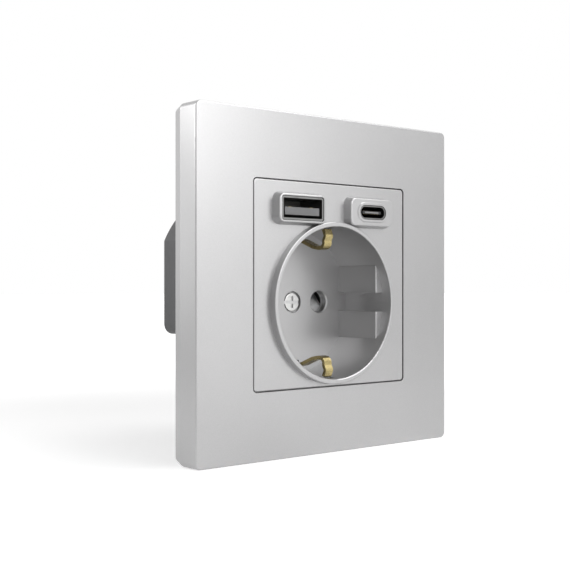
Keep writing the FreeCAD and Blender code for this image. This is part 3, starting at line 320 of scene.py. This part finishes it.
def silver_lacquer(finishes):
    """Satin silver lacquer with fine metal flakes over moulded plastic."""
    colour = tuple(finishes.silver)
    roughness = finishes.silver_roughness
    finish = Finish("silver_lacquer", colour, roughness, finishes.silver_metal)
    flakes = finish.noise(finishes.flake_size, detail=1.0)
    drift = finish.noise(18 * MM, detail=1.0)
    mixed = finish.node("ShaderNodeMath", operation="MULTIPLY_ADD")
    mixed.inputs[1].default_value = DRIFT_SHARE
    finish.link(drift, mixed.inputs[0])
    finish.link(flakes, mixed.inputs[2])
    finish.tint(mixed.outputs[0], (0.35, scaled(colour, 0.94)), (0.85, scaled(colour, 1.05)))
    finish.gloss(flakes, low=roughness - 0.03, high=roughness + 0.03)
    finish.relief(flakes, depth=0.002 * MM, strength=0.35)
    return finish


def moulded_plastic(name, colour, grain=0.12 * MM, roughness=0.5):
    """Plain moulded plastic with an eroded grain and a faint cloudiness."""
    finish = Finish(name, colour, roughness)
    cloud = finish.noise(9 * MM, detail=3.0)
    finish.tint(cloud, (0.35, scaled(colour, 0.93)), (0.65, scaled(colour, 1.07)))
    grain_noise = finish.noise(grain, detail=3.0)
    finish.gloss(grain_noise, low=roughness - 0.06, high=roughness + 0.06)
    finish.relief(grain_noise, depth=0.012 * MM, strength=0.5)
    return finish


def rolled_metal(name, colour, roughness, lines=ALONG_Z, tarnish=None):
    """Sheet metal with fine rolling lines and clouds of darker tarnish."""
    finish = Finish(name, colour, roughness, metal=1.0)
    rolling = finish.noise(0.05 * MM, where=finish.place(stretch=lines))
    cloud = finish.noise(2.2 * MM, detail=3.0)
    dark = tarnish or scaled(colour, 0.82)
    finish.tint(cloud, (0.32, dark), (0.5, colour), (0.68, scaled(colour, 1.06)))
    finish.gloss(rolling, low=roughness - 0.07, high=roughness + 0.09)
    finish.relief(rolling, depth=0.003 * MM, strength=0.4)
    return finish


def turned_metal(name, colour, roughness, centre):
    """Turned metal with fine rings round an axis along Y."""
    finish = Finish(name, colour, roughness, metal=1.0)
    rings = finish.node("ShaderNodeTexWave", wave_type="RINGS", rings_direction="Y")
    rings.inputs["Scale"].default_value = RING_SCALE
    rings.inputs["Distortion"].default_value = 0.6
    finish.link(finish.place(centre=centre), rings.inputs["Vector"])
    cloud = finish.noise(1.1 * MM, detail=3.0)
    finish.tint(cloud, (0.34, scaled(colour, 0.86)), (0.66, colour))
    finish.gloss(rings.outputs["Fac"], low=roughness - 0.04, high=roughness + 0.06)
    finish.relief(rings.outputs["Fac"], depth=0.002 * MM, strength=0.4)
    return finish


def driven_screw(name, node, colour, roughness, face, inward, bottom, dark):
    """Turned screw with painted shade in its drive recess, darker from its face at Y to its
    bottom.
    """
    finish = turned_metal(name, colour, roughness, tuple(middle(node)))
    # painted shade: the recess colour turns darker with depth below the head's face
    painted_shade = finish.rise(finish.along("Y"), face + inward * RECESS_SHADE_EDGE, face + inward * bottom)
    finish.shade(painted_shade, dark)
    finish.wear(node)


def glass_weave_board(name):
    """Circuit board: green resist over a woven base, with darker and lighter fields."""
    finish = Finish(name, (0.02, 0.13, 0.06), 0.34)
    weave = finish.node("ShaderNodeTexChecker")
    weave.inputs["Scale"].default_value = 1 / (0.7 * MM)
    finish.link(finish.coordinates, weave.inputs["Vector"])
    fields = finish.noise(3.0 * MM, detail=1.0)
    finish.tint(fields, (0.47, (0.012, 0.085, 0.036)), (0.5, (0.02, 0.15, 0.062)))
    finish.relief(weave.outputs["Fac"], depth=0.004 * MM, strength=0.3)
    return finish


class SOCKET_OT_silver_mouldings(bpy.types.Operator):
    """Lacquer the outer frame and the centre plate"""
    bl_idname = "socket.silver_mouldings"
    bl_label = "Silver Mouldings"

    def execute(self, context):
        silver_lacquer(context.scene.socket_finishes).wear("outer_frame", "centre_plate")
        return {"FINISHED"}


class SOCKET_OT_shutter_and_cover(bpy.types.Operator):
    """Finish the safety shutter, its cover and its springs"""
    bl_idname = "socket.shutter_and_cover"
    bl_label = "Shutter and Cover"

    def execute(self, context):
        grey = tuple(context.scene.socket_finishes.shutter)
        plastic = moulded_plastic("shutter_plastic", grey, roughness=0.42)
        plastic.wear("shutter", "shutter_cover")
        rolled_metal("spring_wire", (0.48, 0.47, 0.45), 0.3).wear("shutter_springs")
        return {"FINISHED"}


class SOCKET_OT_earth_contacts(bpy.types.Operator):
    """Finish the earth strap with its two clips"""
    bl_idname = "socket.earth_contacts"
    bl_label = "Earth Contacts"

    def execute(self, context):
        brass = tuple(context.scene.socket_finishes.clip_brass)
        metal = rolled_metal("clip_brass", brass, 0.26, ALONG_X, tarnish=scaled(brass, 0.62))
        metal.wear("earth_strap")
        return {"FINISHED"}


class SOCKET_OT_contacts_and_terminals(bpy.types.Operator):
    """Finish the live and neutral contacts, the terminals and the bush"""
    bl_idname = "socket.contacts_and_terminals"
    bl_label = "Contacts and Terminals"

    def execute(self, context):
        contacts = rolled_metal("contact_brass", (0.70, 0.52, 0.22), 0.3)
        contacts.wear("live_contact", "neutral_contact")
        terminals = rolled_metal("terminal_brass", (0.66, 0.48, 0.20), 0.36, ALONG_Y)
        terminals.wear("live_terminal", "neutral_terminal", "earth_terminal", "screw_bush")
        return {"FINISHED"}


class SOCKET_OT_screws(bpy.types.Operator):
    """Finish every screw, those that can be turned with rings round their own axes"""
    bl_idname = "socket.screws"
    bl_label = "Screws"

    def execute(self, context):
        # The centre screw and the terminal screws get painted shade in their drive recesses
        driven_screw("nickel_head", "centre_screw", (0.72, 0.72, 0.71), 0.36,
                     face=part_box("centre_screw")[0].y, inward=1, bottom=0.35 * MM,
                     dark=(0.60, 0.60, 0.60))
        for node in ("live_screw", "neutral_screw", "earth_screw"):
            driven_screw(node + "_steel", node, (0.62, 0.61, 0.58), 0.34,
                         face=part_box(node)[1].y, inward=-1, bottom=0.50 * MM,
                         dark=(0.24, 0.235, 0.22))
        small = rolled_metal("small_screw_steel", (0.56, 0.56, 0.54), 0.38)
        small.wear("bracket_screws", "housing_screws")
        return {"FINISHED"}


class SOCKET_OT_ports(bpy.types.Operator):
    """Finish the shells, tongues and contacts of both USB ports"""
    bl_idname = "socket.ports"
    bl_label = "USB Ports"

    def execute(self, context):
        shells = rolled_metal("shell_steel", (0.20, 0.20, 0.198), 0.34, ALONG_Y)
        shells.wear("usb_a_shell", "usb_c_shell")
        moulded_plastic("tongue_grey", (0.21, 0.21, 0.215), 0.08 * MM, 0.4).wear("usb_a_insert")
        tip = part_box("usb_c_insert")[0].y
        mouth = middle("usb_c_shell")
        tongue = moulded_plastic("tongue_black", (0.30, 0.30, 0.30), 0.08 * MM, 0.4)
        begin, end = BAND_DEPTH
        tongue.shade(tongue.rise(tongue.along("Y"), tip + begin, tip + end), TONGUE_BLACK)
        tongue.shade(tongue.beyond("X", mouth.x, BAND_HALF_WIDTH, soft=0.15 * MM), TONGUE_BLACK)
        tongue.shade(tongue.beyond("Z", mouth.z, BAND_HALF_HEIGHT, soft=0.06 * MM), TONGUE_BLACK)
        tongue.wear("usb_c_insert")
        contacts = rolled_metal("contact_gold", (0.40, 0.32, 0.16), 0.3)
        contacts.wear("usb_a_contacts", "usb_c_contacts")
        return {"FINISHED"}


class SOCKET_OT_base_and_housing(bpy.types.Operator):
    """Finish the socket base and the rear housing"""
    bl_idname = "socket.base_and_housing"
    bl_label = "Base and Housing"

    def execute(self, context):
        grey = tuple(context.scene.socket_finishes.housing)
        moulded_plastic("housing_plastic", grey, 0.25 * MM, 0.46).wear("rear_housing")
        moulded_plastic("base_plastic", scaled(grey, 0.8), 0.2 * MM, 0.5).wear("socket_base")
        return {"FINISHED"}


class SOCKET_OT_bracket(bpy.types.Operator):
    """Finish the zinc-plated support bracket"""
    bl_idname = "socket.bracket"
    bl_label = "Support Bracket"

    def execute(self, context):
        zinc = rolled_metal("zinc_plate", (0.58, 0.59, 0.60), 0.36, lines=(14, 1, 1),
                            tarnish=(0.44, 0.45, 0.47))
        spangle = zinc.node("ShaderNodeTexVoronoi")
        spangle.inputs["Scale"].default_value = 1 / (2.6 * MM)
        zinc.link(zinc.coordinates, spangle.inputs["Vector"])
        zinc.relief(spangle.outputs["Distance"], depth=0.002 * MM, strength=0.25)
        zinc.wear("support_bracket")
        return {"FINISHED"}


class SOCKET_OT_electronics(bpy.types.Operator):
    """Finish the boards and what stands on them"""
    bl_idname = "socket.electronics"
    bl_label = "Electronics"

    def execute(self, context):
        glass_weave_board("circuit_board").wear("port_board", "power_board")
        rolled_metal("tinned_pin", (0.72, 0.71, 0.68), 0.25).wear("board_link_pins")
        for name, colour, grain, roughness, nodes in BOARD_MOULDINGS:
            moulded_plastic(name, colour, grain, roughness).wear(*nodes)
        return {"FINISHED"}


def mesh_object(name, mesh):
    """An object at the origin from a finished mesh."""
    data = bpy.data.meshes.new(name)
    mesh.to_mesh(data)
    mesh.free()
    made = bpy.data.objects.new(name, data)
    bpy.context.scene.collection.objects.link(made)
    return made


def copper_coil(name, axis, start, length, radius, wire, steps):
    """One close-wound layer of round wire, spun round an axis along Y."""
    turns = max(1, int(length / wire))
    count = turns * steps
    travel = Vector((0, (length - wire) / count, 0))
    mesh = bmesh.new()
    circle = bmesh.ops.create_circle(mesh, cap_ends=False, radius=wire / 2, segments=WIRE_SIDES)
    place = Vector((axis.x + radius, start + wire / 2, axis.z))
    bmesh.ops.translate(mesh, verts=circle["verts"], vec=place)
    bmesh.ops.spin(mesh, geom=mesh.edges[:], cent=(axis.x, 0, axis.z), axis=(0, 1, 0), dvec=travel,
                   angle=2 * math.pi * turns, steps=count, use_merge=False)
    rims = [edge for edge in mesh.edges if edge.is_boundary]
    bmesh.ops.holes_fill(mesh, edges=rims, sides=0)
    bmesh.ops.recalc_face_normals(mesh, faces=mesh.faces[:])
    for face in mesh.faces:
        face.smooth = True
    return mesh_object(name, mesh)


class SOCKET_OT_choke_winding(bpy.types.Operator):
    """Wind the choke's copper wire round its waist"""
    bl_idname = "socket.choke_winding"
    bl_label = "Choke Winding"

    def execute(self, context):
        wires = context.scene.socket_wire_work
        low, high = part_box("choke")
        start = low.y + CHOKE_FLANGE + COIL_END_GAP
        length = high.y - low.y - 2 * (CHOKE_FLANGE + COIL_END_GAP)
        radius = CHOKE_WAIST_RADIUS + COIL_LIFT * wires.wire
        coil = copper_coil("choke_winding", middle("choke"), start, length, radius, wires.wire,
                           wires.segments)
        copper = rolled_metal("enamelled_copper", (0.62, 0.27, 0.13), 0.28)
        coil.data.materials.append(copper.material)
        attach(coil, "socket")
        return {"FINISHED"}


def add_camera(stage):
    """Camera at the photograph's angle."""
    data = bpy.data.cameras.new("camera")
    data.lens_unit = "FOV"
    data.angle = stage.camera_angle
    data.clip_start = 0.01
    data.clip_end = 50
    camera = bpy.data.objects.new("camera", data)
    bpy.context.scene.collection.objects.link(camera)
    camera.location = stage.camera_place
    camera.rotation_euler = (math.pi / 2, 0, -stage.camera_turn)
    bpy.context.scene.camera = camera


def seen_or_lit(tree, path, seen, lit):
    """A strength: one value where the camera, a mirror or glass sees it, another as light."""
    found = path.outputs["Is Camera Ray"]
    for ray in ("Is Glossy Ray", "Is Transmission Ray"):
        either = tree.nodes.new("ShaderNodeMath")
        either.operation = "MAXIMUM"
        tree.links.new(found, either.inputs[0])
        tree.links.new(path.outputs[ray], either.inputs[1])
        found = either.outputs[0]
    level = tree.nodes.new("ShaderNodeMapRange")
    level.inputs["To Min"].default_value = lit
    level.inputs["To Max"].default_value = seen
    tree.links.new(found, level.inputs["Value"])
    return level.outputs["Result"]


def floor_paper():
    """Pale paper that glows a little near the socket and looks white further away."""
    finish = Finish("floor_paper", (0.80, 0.80, 0.80), 0.9)
    finish.tint(finish.noise(0.4), (0.3, (0.79, 0.79, 0.79)), (0.7, (0.81, 0.81, 0.81)))
    away = finish.node("ShaderNodeVectorMath", operation="LENGTH")
    finish.link(finish.coordinates, away.inputs[0])
    far = finish.rise(away.outputs["Value"], FLOOR_NEAR, FLOOR_FAR, top=WHITE - FLOOR_GLOW)
    path = finish.node("ShaderNodeLightPath")
    strength = finish.node("ShaderNodeMath", operation="MULTIPLY_ADD")
    finish.link(far, strength.inputs[0])
    finish.link(path.outputs["Is Camera Ray"], strength.inputs[1])
    finish.link(seen_or_lit(finish.tree, path, FLOOR_GLOW, 0.0), strength.inputs[2])
    glow = finish.node("ShaderNodeEmission")
    finish.link(strength.outputs[0], glow.inputs["Strength"])
    both = finish.node("ShaderNodeAddShader")
    finish.link(finish.shader.outputs["BSDF"], both.inputs[0])
    finish.link(glow.outputs["Emission"], both.inputs[1])
    finish.link(both.outputs["Shader"], finish.tree.nodes["Material Output"].inputs["Surface"])
    return finish.material


def add_floor(stage):
    """Floor just under the socket, which keeps its shadow."""
    mesh = bmesh.new()
    bmesh.ops.create_grid(mesh, x_segments=1, y_segments=1, size=stage.floor_size / 2)
    bmesh.ops.translate(mesh, verts=mesh.verts[:], vec=(0, 0, BOX_AT_LOAD[0].z - FLOOR_GAP))
    floor = mesh_object("floor", mesh)
    floor.data.materials.append(floor_paper())


def add_world(stage):
    """White surroundings that light the socket only softly."""
    world = bpy.data.worlds.new("studio")
    world.use_nodes = True
    tree = world.node_tree
    background = tree.nodes["Background"]
    background.inputs["Color"].default_value = (1, 1, 1, 1)
    path = tree.nodes.new("ShaderNodeLightPath")
    strength = seen_or_lit(tree, path, WHITE, stage.world_level)
    tree.links.new(strength, background.inputs["Strength"])
    bpy.context.scene.world = world


def add_soft_box(name, turn, rise, distance, width, power):
    """Square lamp that faces the middle of the socket."""
    turn, rise = math.radians(turn), math.radians(rise)
    toward = Vector((math.sin(turn) * math.cos(rise), -math.cos(turn) * math.cos(rise),
                     math.sin(rise)))
    data = bpy.data.lights.new(name, "AREA")
    data.shape = "SQUARE"
    data.size = width
    data.energy = power
    lamp = bpy.data.objects.new(name, data)
    bpy.context.scene.collection.objects.link(lamp)
    lamp.location = toward * distance
    lamp.rotation_euler = (-toward).to_track_quat("-Z", "Y").to_euler()


class SOCKET_OT_stage(bpy.types.Operator):
    """Set up the camera, the floor, the white surroundings and the soft boxes"""
    bl_idname = "socket.stage"
    bl_label = "Stage"

    def execute(self, context):
        stage = context.scene.socket_stage
        add_camera(stage)
        add_floor(stage)
        add_world(stage)
        for box in SOFT_BOXES:
            add_soft_box(*box)
        context.scene.view_settings.view_transform = "Standard"
        return {"FINISHED"}


OPERATORS = (
    SOCKET_OT_silver_mouldings,
    SOCKET_OT_shutter_and_cover,
    SOCKET_OT_earth_contacts,
    SOCKET_OT_contacts_and_terminals,
    SOCKET_OT_screws,
    SOCKET_OT_ports,
    SOCKET_OT_base_and_housing,
    SOCKET_OT_bracket,
    SOCKET_OT_electronics,
    SOCKET_OT_choke_winding,
    SOCKET_OT_stage,
)


class SOCKET_PT_panel(bpy.types.Panel):
    """Sidebar panel with the values and each step of the looks"""
    bl_idname = "SOCKET_PT_panel"
    bl_label = "Wall Socket"
    bl_space_type = "VIEW_3D"
    bl_region_type = "UI"
    bl_category = "Socket"

    def draw(self, context):
        column = self.layout.column()
        for place, kind in GROUPS:
            for name in kind.__annotations__:
                column.prop(getattr(context.scene, place), name)
        for operator in OPERATORS:
            column.operator(operator.bl_idname)


def register():
    for place, kind in GROUPS:
        bpy.utils.register_class(kind)
        setattr(bpy.types.Scene, place, bpy.props.PointerProperty(type=kind))
    for operator in OPERATORS:
        bpy.utils.register_class(operator)
    bpy.utils.register_class(SOCKET_PT_panel)


def unregister():
    bpy.utils.unregister_class(SOCKET_PT_panel)
    for operator in reversed(OPERATORS):
        bpy.utils.unregister_class(operator)
    for place, kind in reversed(GROUPS):
        delattr(bpy.types.Scene, place)
        bpy.utils.unregister_class(kind)


def main():
    register()
    for operator in OPERATORS:
        group, name = operator.bl_idname.split(".")
        getattr(getattr(bpy.ops, group), name)()


if __name__ == "__main__":
    main()
